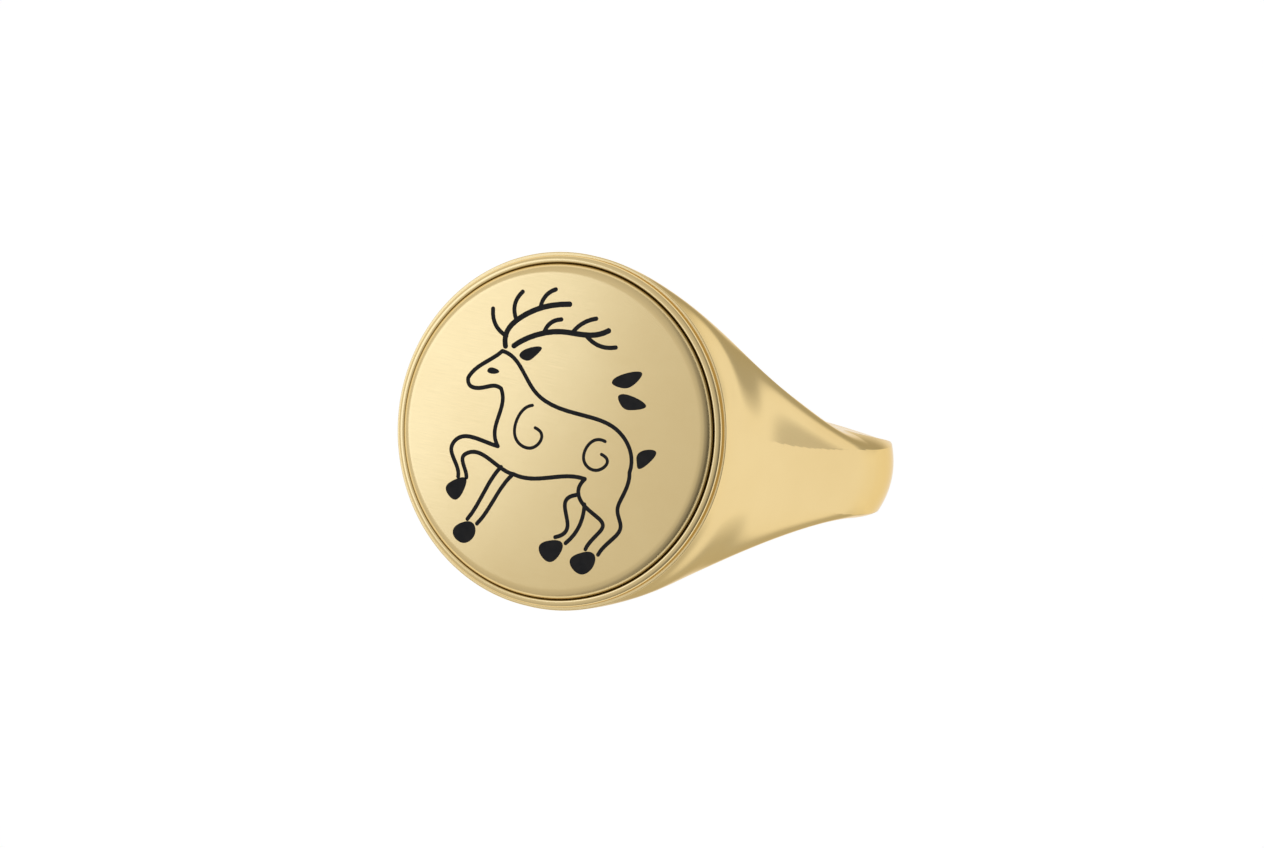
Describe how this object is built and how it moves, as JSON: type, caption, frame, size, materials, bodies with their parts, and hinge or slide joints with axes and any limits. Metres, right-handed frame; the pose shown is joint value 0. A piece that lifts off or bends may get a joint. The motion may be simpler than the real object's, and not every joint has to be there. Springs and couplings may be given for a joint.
{
  "type": "signet ring",
  "caption": "Signet ring with a round head, a raised engraved face plate filled with dark enamel, a plain rounded rim and smooth shoulders tapering to a domed shank",
  "frame": {"origin": "centre of the finger bore", "axes": "+X across the shoulders to the wearer's right of the face, +Y along the finger towards the top of the device, +Z out of the engraved face"},
  "size_m": [0.0222, 0.016, 0.022],
  "materials": {
    "polished_gold": "polished yellow gold",
    "brushed_gold": "satin yellow gold, very finely brushed",
    "gold_solder": "polished flush gold solder",
    "black_enamel": "hard black enamel, slightly satin"
  },
  "bodies": {
    "root": {"shank": "polished_gold", "shoulder_left": "polished_gold", "shoulder_right": "polished_gold", "head": "polished_gold", "rim_bead": "polished_gold", "seat_ring": "polished_gold", "face_plate": "brushed_gold", "solder_head_left": "gold_solder", "solder_head_right": "gold_solder", "solder_shank_left": "gold_solder", "solder_shank_right": "gold_solder", "enamel_antler_far": "black_enamel", "enamel_antler_near": "black_enamel", "enamel_back_outline": "black_enamel", "enamel_belly_outline": "black_enamel", "enamel_ear": "black_enamel", "enamel_eye": "black_enamel", "enamel_haunch_curl": "black_enamel", "enamel_hoof_fore_far": "black_enamel", "enamel_hoof_fore_near": "black_enamel", "enamel_hoof_hind_far": "black_enamel", "enamel_hoof_hind_near": "black_enamel", "enamel_leaf_lower": "black_enamel", "enamel_leaf_upper": "black_enamel", "enamel_shoulder_curl": "black_enamel", "enamel_tail": "black_enamel"}
  },
  "joints": []
}
